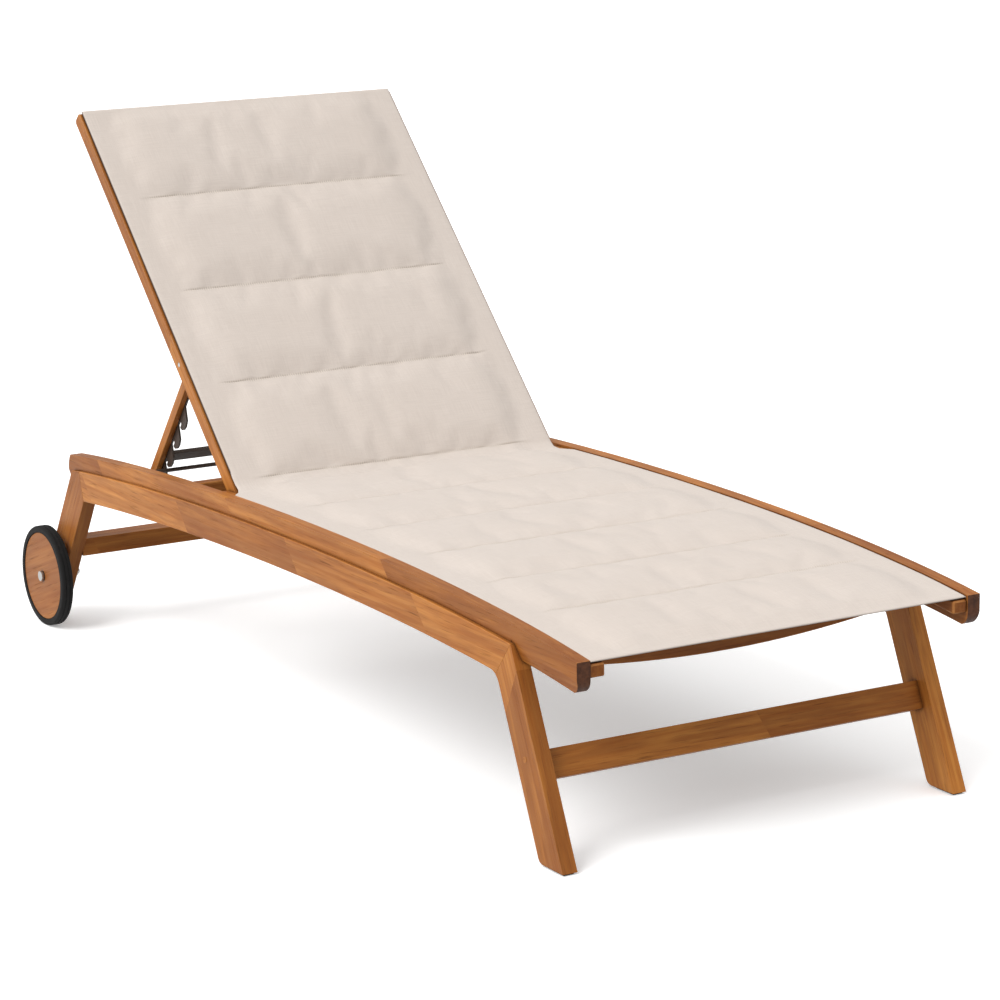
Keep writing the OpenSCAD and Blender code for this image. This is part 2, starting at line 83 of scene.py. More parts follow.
def rail_point(t):
    """A point on the rail top's curve; t runs from 0 at the foot end to 1 at the head end."""
    a, b, c, d = ((1 - t) ** 3, 3 * t * (1 - t) ** 2, 3 * t * t * (1 - t), t ** 3)
    y, z = (sum(w * p[k] for w, p in zip((a, b, c, d), RAIL)) for k in (0, 1))
    return Vector((0, y + FOOT_Y, z))


# ---- small node-tree helpers ----

class Tree:
    """Builds a material's nodes: each call adds a node and returns one of its outputs."""

    def __init__(self, name):
        self.mat = bpy.data.materials.new(name)
        self.mat.use_nodes = True
        self.nodes, self.links = self.mat.node_tree.nodes, self.mat.node_tree.links
        self.shader = self.nodes["Principled BSDF"]

    def put(self, socket, value):
        """Links another node's output to the socket, or sets its value."""
        if isinstance(value, bpy.types.NodeSocket):
            self.links.new(value, socket)
        else:
            socket.default_value = value

    def add(self, kind, out, inputs=(), **settings):
        """A node of this kind with its inputs and settings; returns the output named or numbered out."""
        node = self.nodes.new(kind)
        for k, v in settings.items():
            setattr(node, k, v)
        for k, v in dict(inputs).items():
            self.put(node.inputs[k], v)
        return node.outputs[out]

    def coords(self):
        return self.add("ShaderNodeTexCoord", "Object")

    def mapped(self, vector, scale=(1, 1, 1), move=(0, 0, 0), turn=(0, 0, 0)):
        return self.add("ShaderNodeMapping", 0, {"Vector": vector, "Scale": scale, "Location": move,
                                                 "Rotation": turn})

    def axis(self, vector, name):
        """One of a vector's parts: X, Y or Z."""
        return self.add("ShaderNodeSeparateXYZ", name, {0: vector})

    def noise(self, vector, scale, detail=3.0, rough=0.55, distortion=0.0):
        return self.add("ShaderNodeTexNoise", "Fac", {"Vector": vector, "Scale": scale, "Detail": detail,
                                                      "Roughness": rough, "Distortion": distortion})

    def math(self, op, a, b=0.0, c=0.0):
        return self.add("ShaderNodeMath", 0, {0: a, 1: b, 2: c}, operation=op)

    def vmath(self, op, a, b, out=0):
        return self.add("ShaderNodeVectorMath", out, {0: a, 1: b}, operation=op)

    def span(self, value, low, high, to_low=0.0, to_high=1.0):
        """The value scaled from low..high to to_low..to_high, and held at those ends."""
        return self.add("ShaderNodeMapRange", 0, {0: value, 1: low, 2: high, 3: to_low, 4: to_high})

    def mix(self, fac, a, b, blend="MIX"):
        node = self.nodes.new("ShaderNodeMix")
        node.data_type, node.blend_type = "RGBA", blend
        colour_a, colour_b, colour_out = node.inputs[6], node.inputs[7], node.outputs[2]
        for socket, value in ((node.inputs[0], fac), (colour_a, a), (colour_b, b)):
            self.put(socket, value)
        return colour_out

    def attribute(self, name, out="Fac"):
        return self.add("ShaderNodeAttribute", out, attribute_name=name)

    def bump(self, height, strength, distance):
        return self.add("ShaderNodeBump", 0, {"Height": height, "Strength": strength, "Distance": distance})

    def finish(self, **sockets):
        """Sets the shader's sockets, with _ for a space in their names, and returns the material."""
        for k, v in sockets.items():
            self.put(self.shader.inputs[k.replace("_", " ")], v)
        return self.mat


def rgb(r, g, b):
    """A colour as seen on a screen, 0 to 255, made linear by the sRGB curve, with full opacity."""
    def linear(v):
        return v / 255 / 12.92 if v <= 10 else ((v / 255 + 0.055) / 1.055) ** 2.4
    return linear(r), linear(g), linear(b), 1.0


# ---- materials ----

WOOD_LIGHT = rgb(192, 127, 58)
WOOD_MID = rgb(169, 102, 42)
WOOD_DARK = rgb(120, 65, 28)
WOOD_PORE = rgb(78, 42, 19)
# painted shade: the colour the wood takes in corners, joints and gaps between parts
WOOD_PAINTED_SHADE = rgb(44, 22, 10)
WOOD_WORN = rgb(192, 132, 76)
END_GRAIN = rgb(58, 32, 18), rgb(94, 56, 34)
LENGTH_SHADE = 0.80, 1.14           # the darkest and lightest glued length of a board
PAINTED_SHADE_REACH = 0.009               # how far from another surface the wood starts to darken with painted shade, in metres


def wood(name, turn, seed, section, tone, slant, end_grain):
    """Oiled hardwood, in boards of glued lengths.

    turn brings the grain onto the texture's X, seed shifts it, section is the glued lengths' length and slant the
    slope of their ends, tone lightens or darkens the board, and faces towards end_grain, if given, are dark."""
    t = Tree(name)
    at = t.mapped(t.coords(), turn=turn, move=(seed * 1.7, seed * 0.63, seed * 0.41))
    part, up = t.axis(at, "X"), t.axis(at, "Z")
    length = t.math("FLOOR", t.math("DIVIDE", t.math("MULTIPLY_ADD", up, slant, part), section))
    pick = t.add("ShaderNodeTexWhiteNoise", "Value", {"W": length}, noise_dimensions="1D")
    offset = t.add("ShaderNodeTexWhiteNoise", "Color", {"W": length}, noise_dimensions="1D")
    at = t.vmath("ADD", at, offset)
    waves = t.noise(t.mapped(at, scale=(0.9, 9, 9)), 3.0, detail=4.0, rough=0.6, distortion=0.4)
    rings = t.math("SINE", t.math("MULTIPLY_ADD", waves, 26.0, t.math("MULTIPLY", part, 3.0)))
    rings = t.span(rings, -1.0, 1.0)
    streak = t.noise(t.mapped(at, scale=(4.0, 130, 130)), 1.0, detail=4.0, rough=0.62)
    pores = t.noise(t.mapped(at, scale=(18, 620, 620)), 1.0, detail=2.0, rough=0.5)
    pores = t.span(pores, 0.60, 0.74)
    fibre = t.noise(t.mapped(at, scale=(26, 1500, 1500)), 1.0, detail=2.0, rough=0.6)
    cloud = t.noise(at, 5.5, detail=3.0, rough=0.5)
    base = t.mix(t.span(streak, 0.34, 0.68), WOOD_MID, WOOD_LIGHT)
    base = t.mix(t.math("MULTIPLY", rings, 0.34), base, WOOD_DARK)
    base = t.mix(t.span(cloud, 0.35, 0.75, 0.0, 0.35), base, WOOD_DARK)
    # darker lengths are also redder: green and blue fall faster than red
    shade = t.span(pick, 0.0, 1.0, LENGTH_SHADE[0] + tone, LENGTH_SHADE[1] + tone)
    green, blue = t.math("POWER", shade, 1.25), t.math("POWER", shade, 1.45)
    base = t.mix(1.0, base, t.add("ShaderNodeCombineColor", 0, {0: shade, 1: green, 2: blue}), "MULTIPLY")
    base = t.mix(t.math("MULTIPLY", pores, 0.55), base, WOOD_PORE)
    # painted shade: the wood darkens near other surfaces, in corners, joints and gaps between parts
    openness = t.add("ShaderNodeAmbientOcclusion", "AO", {"Distance": PAINTED_SHADE_REACH}, samples=6)
    base = t.mix(t.span(openness, 0.35, 0.85, 0.80, 0.0), base, WOOD_PAINTED_SHADE)
    worn = t.math("MULTIPLY", t.attribute("edge"), t.span(t.noise(at, 60, 3.0), 0.35, 0.7, 0.15, 0.75))
    worn = t.math("MULTIPLY", worn, t.span(openness, 0.75, 0.98))
    base = t.mix(worn, base, WOOD_WORN)
    if end_grain:
        facing = t.vmath("DOT_PRODUCT", t.add("ShaderNodeTexCoord", "Normal"), end_grain, out=1)
        base = t.mix(t.span(facing, 0.30, 0.50), base, t.mix(t.span(streak, 0.3, 0.7), *END_GRAIN))
    rough = t.math("ADD", t.span(streak, 0.3, 0.7, 0.50, 0.40), t.math("MULTIPLY", pores, 0.15))
    rough = t.math("MULTIPLY_ADD", worn, 0.12, rough)
    height = t.math("SUBTRACT", t.math("MULTIPLY_ADD", streak, 0.5, t.math("MULTIPLY", fibre, 0.5)), pores)
    return t.finish(Base_Color=base, Roughness=rough, Normal=t.bump(height, 0.35, 0.0005),
                    Specular_IOR_Level=0.16, Coat_Weight=0.02, Coat_Roughness=0.4)


WEAVE_PITCH = 0.0009                # one thread of the weave, over and under
STITCH_PITCH = 0.0042


def fabric(name):
    """Beige outdoor cloth: plain weave with slubs, faint stains and stitched seams, with painted shade in the
    seams' creases and along the backrest's sides.

    The sling's attributes place it: flat is the point on the flat cloth; the others run 0 to 1 and mark the
    stitch threads and the painted shade in the seams' creases and along the backrest's sides."""
    t = Tree(name)
    at = t.attribute("flat", "Vector")
    x, y = t.axis(at, "X"), t.axis(at, "Y")
    pitch = 2 * math.pi / WEAVE_PITCH
    warp = t.math("SINE", t.math("MULTIPLY", x, pitch))
    weft = t.math("SINE", t.math("MULTIPLY", y, pitch))
    weave = t.math("MULTIPLY", warp, weft)
    slub_a = t.noise(t.mapped(at, scale=(22, 900, 1)), 1.0, detail=2.0, rough=0.6)
    slub_b = t.noise(t.mapped(at, scale=(900, 22, 1)), 1.0, detail=2.0, rough=0.6)
    slub = t.math("MULTIPLY", t.math("ADD", slub_a, slub_b), 0.5)
    cloud = t.noise(at, 3.2, detail=4.0, rough=0.55)
    fine = t.noise(at, 260.0, detail=3.0, rough=0.6)
    base = t.mix(t.span(slub, 0.40, 0.60), rgb(199, 188, 179), rgb(208, 197, 188))
    base = t.mix(t.span(cloud, 0.35, 0.7, 0.0, 0.35), base, rgb(199, 187, 177))
    base = t.mix(t.span(weave, -1.0, 1.0, 0.0, 0.14), base, rgb(178, 165, 153))
    base = t.mix(t.span(fine, 0.55, 0.8, 0.0, 0.25), base, rgb(190, 174, 158))
    dash = t.span(t.math("SINE", t.math("MULTIPLY", x, 2 * math.pi / STITCH_PITCH)), -0.4, 0.4)
    # painted shade in the seams' creases
    base = t.mix(t.math("MULTIPLY", t.attribute("seam_shade"), 0.30), base, rgb(128, 116, 106))
    # painted shade along the backrest's sides, for the shadowed groove where the cloth meets the posts
    base = t.mix(t.attribute("side_shade"), base, rgb(58, 40, 29))
    thread = t.math("MULTIPLY", t.attribute("thread"), dash)
    base = t.mix(t.math("MULTIPLY", thread, 0.7), base, rgb(214, 203, 190))
    height = t.math("MULTIPLY_ADD", weave, 0.35, t.math("MULTIPLY", slub, 0.9))
    height = t.math("MULTIPLY_ADD", thread, 0.8, height)
    rough = t.span(slub, 0.35, 0.65, 0.92, 0.80)
    return t.finish(Base_Color=base, Roughness=rough, Normal=t.bump(height, 0.45, 0.0006),
                    Sheen_Weight=0.18, Sheen_Roughness=0.5, Specular_IOR_Level=0.2)


def coating(name, dark, light, grain, rough, metallic=0.0, spec=0.5, bump=0.25, rub=None):
    """A painted, moulded or plated finish: fine grain at this scale, cloudy tone and, with rub, worn patches."""
    t = Tree(name)
    at = t.coords()
    fine = t.noise(at, grain, detail=3.0, rough=0.6)
    cloud = t.noise(at, 18.0, detail=4.0, rough=0.55)
    base = t.mix(t.span(cloud, 0.3, 0.7), dark, light)
    if rub:
        worn = t.span(t.noise(at, 95.0, detail=4.0, rough=0.65), 0.58, 0.72, 0.0, 0.4)
        base = t.mix(worn, base, rub)
    roughness = t.math("MULTIPLY_ADD", fine, 0.12, t.span(cloud, 0.3, 0.7, *rough))
    return t.finish(Base_Color=base, Roughness=roughness, Metallic=metallic, Specular_IOR_Level=spec,
                    Normal=t.bump(fine, bump, 0.0002))


POWDER = coating("powder_coat", rgb(52, 42, 36), rgb(70, 58, 50), 1400.0, rough=(0.42, 0.52), spec=0.45,
                 rub=rgb(92, 80, 70))
ZINC = coating("zinc_steel", rgb(150, 148, 144), rgb(190, 189, 186), 700.0, rough=(0.24, 0.36), metallic=1.0,
               rub=rgb(120, 116, 110))
RUBBER = coating("tyre_rubber", rgb(9, 9, 9), rgb(17, 16, 16), 900.0, rough=(0.68, 0.82), spec=0.3, bump=0.4,
                 rub=rgb(46, 43, 40))
PLASTIC = coating("bush_plastic", rgb(22, 22, 23), rgb(34, 34, 35), 1100.0, rough=(0.45, 0.55), spec=0.4)
FABRIC = fabric("quilted_cloth")

# ---- boards: each is its CAD node with rounded edges ----

WELD = 2e-5                         # corners of the CAD mesh closer than this are one
FLAT_ANGLE = math.radians(0.3)      # faces meeting at less than this are merged
SHARP_ANGLE = math.radians(26.0)    # edges sharper than this are rounded


def rounded(name, width, material, segments=3):
    """A copy of a CAD node with its sharp edges rounded over; the rounded strips carry the attribute edge."""
    bm = bmesh.new()
    bm.from_mesh(nodes[name].data)
    bmesh.ops.remove_doubles(bm, verts=bm.verts, dist=WELD)
    bmesh.ops.dissolve_limit(bm, angle_limit=FLAT_ANGLE, verts=bm.verts, edges=bm.edges)
    mark = bm.faces.layers.float.new("edge")
    sharp = [e for e in bm.edges if len(e.link_faces) == 2 and e.calc_face_angle(0) > SHARP_ANGLE]
    made = bmesh.ops.bevel(bm, geom=sharp, offset=width, offset_type="OFFSET", segments=segments, profile=0.5,
                           affect="EDGES", clamp_overlap=True)
    for f in made["faces"]:
        f[mark] = 1.0
    mesh = bpy.data.meshes.new(name)
    bm.to_mesh(mesh)
    bm.free()
    return piece(name + "_shown", mesh, material, body_of_node[name], [name])


def piece(name, mesh, material, body, replaced, smooth=32.0, ride=True):
    """A visible piece that stands for the replaced CAD nodes; edges over smooth degrees stay sharp."""
    mesh.shade_smooth()
    mesh.set_sharp_from_angle(angle=math.radians(smooth))
    obj = bpy.data.objects.new(name, mesh)
    bpy.context.scene.collection.objects.link(obj)
    mesh.materials.clear()
    mesh.materials.append(material)
    normals = obj.modifiers.new("normals", "WEIGHTED_NORMAL")
    normals.keep_sharp = True
    if ride:
        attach(obj, body)
    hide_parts(*replaced)
    return obj


ALONG = Vector((0, 1, 0))
ACROSS = Vector((1, 0, 0))
FRONT_LEG_UP = Vector((0, math.sin(FRONT_LEG_LEAN), math.cos(FRONT_LEG_LEAN)))
REAR_LEG_UP = Vector((0, -math.sin(REAR_LEG_LEAN), math.cos(REAR_LEG_LEAN)))
WHEEL_GRAIN = Vector((0, 0.94, -0.34))


def grain_turn(direction):
    """Euler angles that bring this direction onto the texture's X axis."""
    d = Vector(direction).normalized()
    side = ACROSS if abs(d.x) < 0.9 else ALONG
    up = d.cross(side).normalized()
    side = up.cross(d).normalized()
    return Matrix((d, side, up)).to_euler("XYZ")


# node, or a pair's common name: direction of the grain, edge radius, length of the glued lengths, tone
BOARDS = {
    "side_rail": (ALONG, 0.0030, 0.52, -0.08),
    "lower_rail": (ALONG, 0.0034, 0.40, 0.02),
    "front_leg": (FRONT_LEG_UP, 0.0042, 0.60, -0.02),
    "rear_leg": (REAR_LEG_UP, 0.0042, 0.60, 0.0),
    "sling_batten": (ALONG, 0.0030, 0.60, -0.35),
    "hinge_block": (ALONG, 0.0015, 0.60, -0.10),
    "back_post": (BACK_UP, 0.0030, 0.45, 0.0),
    "prop_strut": (PROP_DOWN, 0.0020, 0.50, -0.02),
    "front_stretcher": (ACROSS, 0.0035, 0.44, 0.02),
    "rear_stretcher": (ACROSS, 0.0040, 0.40, 0.02),
    # the bows' low tone is painted shade: they sit in the cloth's shadow
    "front_bow": (ACROSS, 0.0020, 0.60, -0.32),
    "middle_bow": (ACROSS, 0.0020, 0.60, -0.32),
    "rear_crossbar": (ACROSS, 0.0030, 0.50, -0.03),
    "back_top_bar": (ACROSS, 0.0025, 0.50, -0.02),
    "back_lower_bar": (ACROSS, 0.0025, 0.50, -0.02),
    "stretcher_plugs": (ACROSS, 0.0003, 0.50, -0.10),
    "wheel_disc": (WHEEL_GRAIN, 0.0022, 0.30, -0.07),
}
SEED_STEP = 0.83
board_count = 0
for kind, (grain, radius, section, tone) in BOARDS.items():
    for side in ("", "_left", "_right"):
        node = kind + side
        if node in nodes:
            board_count += 1
            end = (0, -1, 0) if kind == "side_rail" else None       # only at the foot end
            slant = 0.9 if grain is not ACROSS else 0.4
            material = wood("wood_" + node, grain_turn(grain), board_count * SEED_STEP, section, tone, slant, end)
            rounded(node, radius, material)

# ---- metal, rubber and plastic parts ----

# material slot: material, edge radius
FINISH = {
    "dark_steel": (POWDER, 0.0006),
    "bright_steel": (ZINC, 0.0007),
    "bush_plastic": (PLASTIC, 0.0006),
    "pad_rubber": (RUBBER, 0.0006),
}
for node, slot in slot_of_node.items():
    if slot in FINISH:
        material, radius = FINISH[slot]
        rounded(node, radius, material, segments=2)

# ---- tyres: turned rings in place of the CAD's plain ones ----

TYRE_STEPS = 128                    # sections round the tyre
TYRE_DEPTH = 0.0115                 # from the tread to the disc
BEAD = 0.001                        # bevel where the tyre meets the disc
SHOULDER, SHOULDER_STEPS = 0.004, 6     # round corners beside the tread
GROOVES = (-0.0035, 0.0035)         # middles of the tread's grooves
GROOVE_TOP, GROOVE_FLOOR, GROOVE_DEPTH = 0.0011, 0.0007, 0.0011     # half widths and depth


def lathe(name, profile, centre):
    """A ring swept round the X axis from (x, radius) points in order round its section."""
    bm = bmesh.new()
    rings = []
    for i in range(TYRE_STEPS):
        a = 2 * math.pi * i / TYRE_STEPS
        rings.append([bm.verts.new(centre + Vector((x, r * math.cos(a), r * math.sin(a)))) for x, r in profile])
    for i in range(TYRE_STEPS):
        a, b = rings[i], rings[(i + 1) % TYRE_STEPS]
        for k in range(len(profile)):
            m = (k + 1) % len(profile)
            bm.faces.new((a[k], b[k], b[m], a[m]))
    bmesh.ops.recalc_face_normals(bm, faces=bm.faces)
    mesh = bpy.data.meshes.new(name)
    bm.to_mesh(mesh)
    bm.free()
    return mesh


def tyre_profile():
    """The tyre's section: flat tread with two grooves, round shoulders, a bead against the disc."""
    low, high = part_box("tyre_left")
    half, outer = (high.x - low.x) / 2, (high.z - low.z) / 2
    inner = outer - TYRE_DEPTH

    def shoulder(x, start):
        turns = (start - QUARTER_TURN * i / SHOULDER_STEPS for i in range(SHOULDER_STEPS + 1))
        return [(x + SHOULDER * math.cos(a), outer - SHOULDER + SHOULDER * math.sin(a)) for a in turns]

    pts = [(-half + BEAD, inner), (-half, inner + BEAD), *shoulder(-half + SHOULDER, math.pi)]
    for x in GROOVES:
        pts += [(x - GROOVE_TOP, outer), (x - GROOVE_FLOOR, outer - GROOVE_DEPTH),
                (x + GROOVE_FLOOR, outer - GROOVE_DEPTH), (x + GROOVE_TOP, outer)]
    return pts + [*shoulder(half - SHOULDER, QUARTER_TURN), (half, inner + BEAD), (half - BEAD, inner)]


for sign, side in ((-1, "left"), (1, "right")):
    mesh = lathe("tyre_" + side, tyre_profile(), Vector((sign * WHEEL_X, AXLE.y, AXLE.z)))
    piece("tyre_" + side + "_shown", mesh, RUBBER, "wheel_" + side, ["tyre_" + side], smooth=40.0)

# ---- the quilted sling: one cloth from the foot end over the hinge to the top of the backrest ----

CLOTH = 0.0045                      # thickness of the cloth with its lining
FOLD_R = 0.045                      # radius of the soft fold over the hinge
PAD = 0.0065                        # height of the padding between seams
SEAT_SEAMS = (0.203, 0.367, 0.549, 0.732, 0.930)        # along, from the foot end
BACK_SEAMS = (0.027, 0.219, 0.4125, 0.613)              # up the backrest, from its hinge
SEAT_HALF, BACK_HALF = 0.3268, 0.3045                   # half widths of the cloth
PAD_SIDE = 0.055                    # flat border beside the padding
HEM_BACK = 0.0015                   # the cloth's front edge, behind the rails' foot end
RAIL_STEPS, FOLD_STEPS, BACK_STEPS = 400, 13, 219       # steps of the side view's line
ROW_STEP = 0.0105                   # between rows of the cloth's grid, away from seams
ROWS_AT_SEAM = (0.0015, 0.004, 0.008)   # rows beside each seam
COLUMNS = 71                        # of the grid, besides two close ones along each side
SIDE_COLUMNS = 0.9955, 1            # those, as a share of the half width
SEAM_DEPTH = 0.0012                 # the stitches pull the face down by this
EDGE_ROLL = 0.0016                  # and the cloth's edges turn down by this
FACE_OFFSET = 0.01                  # the underside's place on the flat cloth, so its weave differs


def sling_path():
    """The sling's face in side view: points a few mm apart, the distance along it, the seams and the fold."""
    seat = [rail_point(i / RAIL_STEPS) - Vector((0, 0, SEAT_DROP)) for i in range(RAIL_STEPS + 1)]
    seat = [p for p in seat if FOOT_Y + HEM_BACK <= p.y < HINGE.y]
    near = [i for i, p in enumerate(seat) if p.y < HINGE.y - 0.03][-1]
    seat_run = (seat[near + 1] - seat[near - 1]).normalized()
    back_start = HINGE + BACK_OUT * SLING_TOP
    # where the seat's line meets the backrest's line
    dy, dz = back_start.y - seat[near].y, back_start.z - seat[near].z
    k = (dy * BACK_UP.z - dz * BACK_UP.y) / (seat_run.y * BACK_UP.z - seat_run.z * BACK_UP.y)
    corner = seat[near] + seat_run * k
    reach = FOLD_R * math.tan(BACK_ANGLE / 2)
    a, b = corner - seat_run * reach, corner + BACK_UP * reach
    pts = [p for p in seat if p.y < a.y - 0.002]
    seat_count = len(pts)
    pts += [a * (1 - u) ** 2 + corner * 2 * u * (1 - u) + b * u * u for u in np.linspace(0, 1, FOLD_STEPS + 1)]
    up_back = np.linspace((b - back_start).dot(BACK_UP), BACK_LEN, BACK_STEPS + 1)[1:]
    pts += [back_start + BACK_UP * s for s in up_back]
    co = np.array([p[:] for p in pts])
    run = np.concatenate([[0], np.cumsum(np.linalg.norm(np.diff(co, axis=0), axis=1))])
    seams = [float(np.interp(d + FOOT_Y, co[:seat_count, 1], run[:seat_count])) for d in SEAT_SEAMS]
    seams += [float(run[-1]) - (BACK_LEN - s) for s in BACK_SEAMS]
    return co, run, seams, float(run[seat_count + FOLD_STEPS // 2])


def spaced(stops, step, fine):
    """Positions from the first stop to the last, with closer rows beside every inner stop."""
    out = set()
    for a, b in zip(stops, stops[1:]):
        middle = b - a - 2 * fine[-1]
        n = max(2, round(middle / step))
        out |= {a, b, *(a + d for d in fine), *(b - d for d in fine)}
        out |= {a + fine[-1] + middle * i / n for i in range(n + 1)}
    return np.array(sorted({round(v, 5) for v in out}))


def smooth_step(v):
    """0 below 0, 1 above 1, and an even rise between."""
    v = np.clip(v, 0, 1)
    return v * v * (3 - 2 * v)


def bumpy(a, b):
    """Uneven height of the padding at a place on the cloth, about -1 to 1."""
    return noise.noise(Vector((a * 6, b * 6, 3.1))) + 0.5 * noise.noise(Vector((a * 15, b * 15, 7.7)))


def grid_faces(index):
    """The four corners of every cell of a grid of vertex numbers."""
    return np.stack([index[:-1, :-1], index[:-1, 1:], index[1:, 1:], index[1:, :-1]], -1).reshape(-1, 4)


def make_sling():
    """The cloth: s runs along it from the foot end, u across it from -1 to 1; gaps are distances on it."""
    co, run, seams, fold = sling_path()
    total = float(run[-1])
    rows = spaced([0.0, *seams, total], ROW_STEP, ROWS_AT_SEAM)
    near_side, at_side = SIDE_COLUMNS
    cols = np.array([-at_side, -near_side, *np.linspace(-0.985, 0.985, COLUMNS), near_side, at_side])
    s, u = np.meshgrid(rows, cols, indexing="ij")
    point = np.stack([np.interp(s, run, co[:, k]) for k in range(3)], -1)
    ahead, behind = s + 0.004, s - 0.004
    slope = np.stack([np.interp(ahead, run, co[:, k]) - np.interp(behind, run, co[:, k]) for k in range(3)], -1)
    slope /= np.linalg.norm(slope, axis=-1, keepdims=True)
    normal = np.stack([0 * s, -slope[..., 2], slope[..., 1]], -1)
    half = SEAT_HALF + (BACK_HALF - SEAT_HALF) * smooth_step((s - fold + 0.028) / 0.03)
    x = u * half
    point[..., 0] = x
    gap_seam = np.min([np.abs(s - k) for k in seams], axis=0)
    gap_end = np.minimum(s, total - s)
    gap_side = half - PAD_SIDE - np.abs(x)
    # padding: rises away from the seams, dies out at the flat borders
    lift = (1 - np.exp(-gap_seam / 0.020)) * smooth_step(gap_side / 0.05 + 0.25)
    lift *= smooth_step((gap_end - 0.004) / 0.035)
    wave = np.array([[bumpy(a, b) for a, b in zip(across, along)] for across, along in zip(x, s)])
    # small puckers beside the seams, strongest at their ends
    ends = np.exp(-((np.abs(x) - half + PAD_SIDE + 0.01) / 0.03) ** 2)
    pucker = np.sin(x / 0.013 + 9 * wave) * np.exp(-gap_seam / 0.022) * (0.25 + ends) * (gap_side > -0.02)
    height = PAD * lift * (1 + 0.12 * wave) + 0.0005 * pucker + 0.0004 * wave * smooth_step(gap_end / 0.03)
    face = point + normal * height[..., None]
    seam_row = gap_seam < 0.0008
    in_pad = smooth_step((gap_side + 0.012) / 0.02)
    face[seam_row] -= (normal * (SEAM_DEPTH * in_pad)[..., None])[seam_row]
    face = settle(face, seam_row, gap_side, gap_end)
    # the edge rolls down a little, and the underside lies one thickness below
    roll = (np.exp(-(half - np.abs(x)) / EDGE_ROLL) + np.exp(-gap_end / EDGE_ROLL)) * EDGE_ROLL
    face -= normal * roll[..., None]
    under = point - normal * (CLOTH - roll + 0.12 * height)[..., None]
    nv, nu = s.shape
    verts = np.concatenate([face.reshape(-1, 3), under.reshape(-1, 3)])
    index = np.arange(nv * nu).reshape(nv, nu)
    top = grid_faces(index)
    low = top[:, [0, 3, 2, 1]] + nv * nu
    rim = np.concatenate([index[0, :], index[1:, -1], index[-1, -2::-1], index[-2:0:-1, 0]])
    nxt = np.roll(rim, -1)
    side = np.stack([rim, rim + nv * nu, nxt + nv * nu, nxt], -1)
    mesh = bpy.data.meshes.new("quilted_sling")
    mesh.from_pydata(verts.tolist(), [], np.concatenate([top, low, side]).tolist())
    mesh.validate()
    flat = np.stack([x, s, 0 * s], -1).reshape(-1, 3)
    store(mesh, "flat", "FLOAT_VECTOR", "vector", flat, flat + (FACE_OFFSET, FACE_OFFSET, 0))
    # painted shade in a band along each seam's crease; the underside gets less of it
    line = np.clip(1 - gap_seam / 0.0035, 0, 1) * in_pad
    stitch = (gap_seam < 0.0020) * in_pad
    # painted shade: the backrest's side edges, where the cloth meets the posts in a shadowed groove
    side_shade = ((np.abs(u) > 0.999) & (s > fold + 0.03)) * 1.0
    store(mesh, "seam_shade", "FLOAT", "value", line, 0.6 * line)
    store(mesh, "side_shade", "FLOAT", "value", side_shade, side_shade)
    store(mesh, "thread", "FLOAT", "value", stitch, stitch)
    sling = piece("quilted_sling", mesh, FABRIC, "frame", ["seat_sling", "back_sling"],
                  smooth=60.0, ride=False)
    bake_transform(sling)


def store(mesh, name, kind, field, on_face, on_underside):
    """Keeps values for the face's points and then the underside's as a mesh attribute."""
    layer = mesh.attributes.new(name, kind, "POINT")
    values = np.concatenate([on_face.ravel(), on_underside.ravel()])
    layer.data.foreach_set(field, np.asarray(values, np.float32))


PRESSURE = 0.12                     # of the padding, in the cloth simulation's units
SHRINK = -0.004                     # the cloth is this much larger than its outline
SWELL_CAP = 0.004                   # the furthest the simulation may move a point
SWELL_FRAMES = 20


def settle(face, seam_row, gap_side, gap_end):
    """Lets the padded face swell and crease, as cloth, between its held seams and borders, with small moves."""
    nv, nu = face.shape[:2]
    mesh = bpy.data.meshes.new("swell")
    faces = grid_faces(np.arange(nv * nu).reshape(nv, nu))
    mesh.from_pydata(face.reshape(-1, 3).tolist(), [], faces.tolist())
    obj = bpy.data.objects.new("swell", mesh)
    bpy.context.scene.collection.objects.link(obj)
    held = (seam_row & (gap_side > -0.015)) | (gap_side < -0.012) | (gap_end < 0.012)
    group = obj.vertex_groups.new(name="held")
    group.add([int(i) for i in np.flatnonzero(held.ravel())], 1.0, "REPLACE")
    cloth = obj.modifiers.new("cloth", "CLOTH")
    k = cloth.settings
    k.quality, k.mass, k.vertex_group_mass = 6, 0.25, "held"
    k.tension_stiffness = k.compression_stiffness = 18
    k.shear_stiffness, k.bending_stiffness = 8, 0.35
    k.shrink_min = SHRINK
    k.use_pressure, k.uniform_pressure_force = True, PRESSURE
    k.effector_weights.gravity = 0
    cloth.collision_settings.use_collision = False
    cloth.point_cache.frame_start, cloth.point_cache.frame_end = 1, SWELL_FRAMES
    scene = bpy.context.scene
    for f in range(1, SWELL_FRAMES + 1):
        scene.frame_set(f)
    shape = obj.evaluated_get(bpy.context.evaluated_depsgraph_get())
    moved = np.array([v.co for v in shape.data.vertices]).reshape(nv, nu, 3) - face
    scene.frame_set(1)
    bpy.data.objects.remove(obj)
    far = np.linalg.norm(moved, axis=-1, keepdims=True)
    moved *= np.minimum(1, SWELL_CAP / np.maximum(far, 1e-9))
    return face + moved


make_sling()

# ---- floor, lights and camera ----

FLOOR_HALF = 150                    # large enough that low views show no edge of it
SKY_LEAN = (-0.40, -0.10, 0.91)     # the sky is brightest this way
SKY_LOW, SKY_HIGH = 0.10, 1.15
SUN_FROM = (-0.70, -0.14, 0.70)
SUN_POWER, SUN_WIDTH = 2.0, math.radians(35)
SENSOR = 36.0                       # the camera's own numbers: millimetres, degrees and metres
LENS = 127.6
SHIFT = (-0.0037, 0.0036)
CAMERA_AT = (-2.8368, -4.8951, 1.5988)
AZIMUTH, ELEVATION, ROLL = (math.radians(v) for v in (-30.807, 12.687, -0.778))

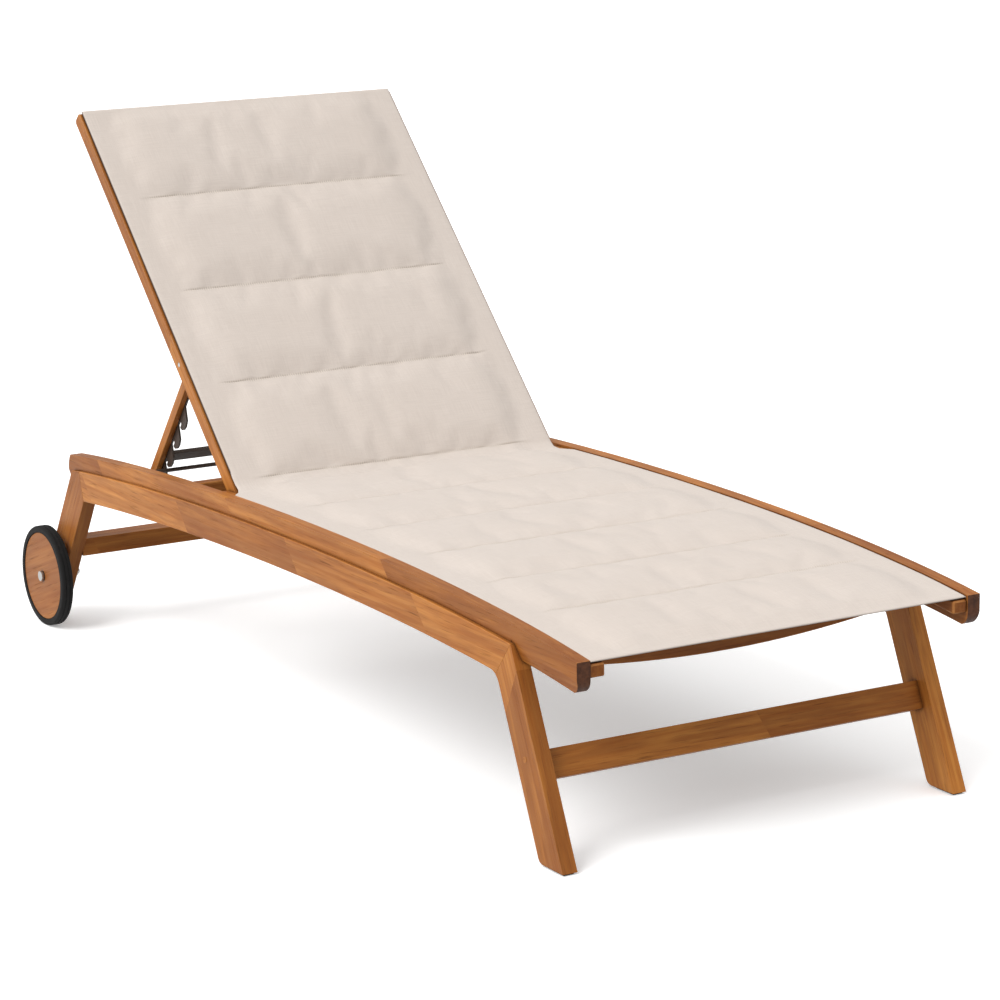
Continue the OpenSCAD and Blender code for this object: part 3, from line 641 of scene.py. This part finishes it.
floor_mesh = bpy.data.meshes.new("floor")
corners = [(FLOOR_HALF * x, FLOOR_HALF * y, 0) for x, y in ((-1, -1), (1, -1), (1, 1), (-1, 1))]
floor_mesh.from_pydata(corners, [], [(0, 1, 2, 3)])
floor = bpy.data.objects.new("floor", floor_mesh)
bpy.context.scene.collection.objects.link(floor)
floor_mesh.materials.append(Tree("paper").finish(
    Base_Color=(0.92, 0.92, 0.92, 1), Roughness=0.9, Emission_Color=(1, 1, 1, 1), Emission_Strength=0.28))
floor.visible_diffuse = False       # the floor stays white without lighting the lounger from below

world = bpy.data.worlds.new("studio")
bpy.context.scene.world = world
world.use_nodes = True
sky = world.node_tree
# a soft white dome, brightest overhead and to the left, dimmer low down
look = sky.nodes.new("ShaderNodeTexCoord")
lean_to = sky.nodes.new("ShaderNodeVectorMath")
lean_to.operation = "DOT_PRODUCT"
lean_to.inputs[1].default_value = SKY_LEAN
ramp = sky.nodes.new("ShaderNodeMapRange")
for i, v in enumerate((-1.0, 1.0, SKY_LOW, SKY_HIGH)):
    ramp.inputs[i + 1].default_value = v
sky.links.new(look.outputs["Generated"], lean_to.inputs[0])
sky.links.new(lean_to.outputs["Value"], ramp.inputs[0])
sky.links.new(ramp.outputs[0], sky.nodes["Background"].inputs["Strength"])
sky.nodes["Background"].inputs["Color"].default_value = (1.0, 1.0, 1.0, 1)

sun_data = bpy.data.lights.new("key", "SUN")
sun_data.energy, sun_data.angle = SUN_POWER, SUN_WIDTH
sun = bpy.data.objects.new("key", sun_data)
bpy.context.scene.collection.objects.link(sun)
sun.rotation_euler = Vector(SUN_FROM).to_track_quat("Z", "Y").to_euler()
bpy.context.scene.view_settings.view_transform = "Standard"

camera_data = bpy.data.cameras.new("camera")
camera_data.lens, camera_data.sensor_width = LENS, SENSOR
camera_data.shift_x, camera_data.shift_y = SHIFT
camera_data.clip_end = 400
camera = bpy.data.objects.new("camera", camera_data)
bpy.context.scene.collection.objects.link(camera)
level = math.cos(ELEVATION)
back = Vector((math.sin(AZIMUTH) * level, -math.cos(AZIMUTH) * level, math.sin(ELEVATION)))
right = Vector((math.cos(AZIMUTH), math.sin(AZIMUTH), 0))
up = back.cross(right)
rolled_right = right * math.cos(ROLL) + up * math.sin(ROLL)
rolled_up = up * math.cos(ROLL) - right * math.sin(ROLL)
turn = Matrix((rolled_right, rolled_up, back)).transposed().to_4x4()
camera.matrix_world = Matrix.Translation(CAMERA_AT) @ turn
bpy.context.scene.camera = camera
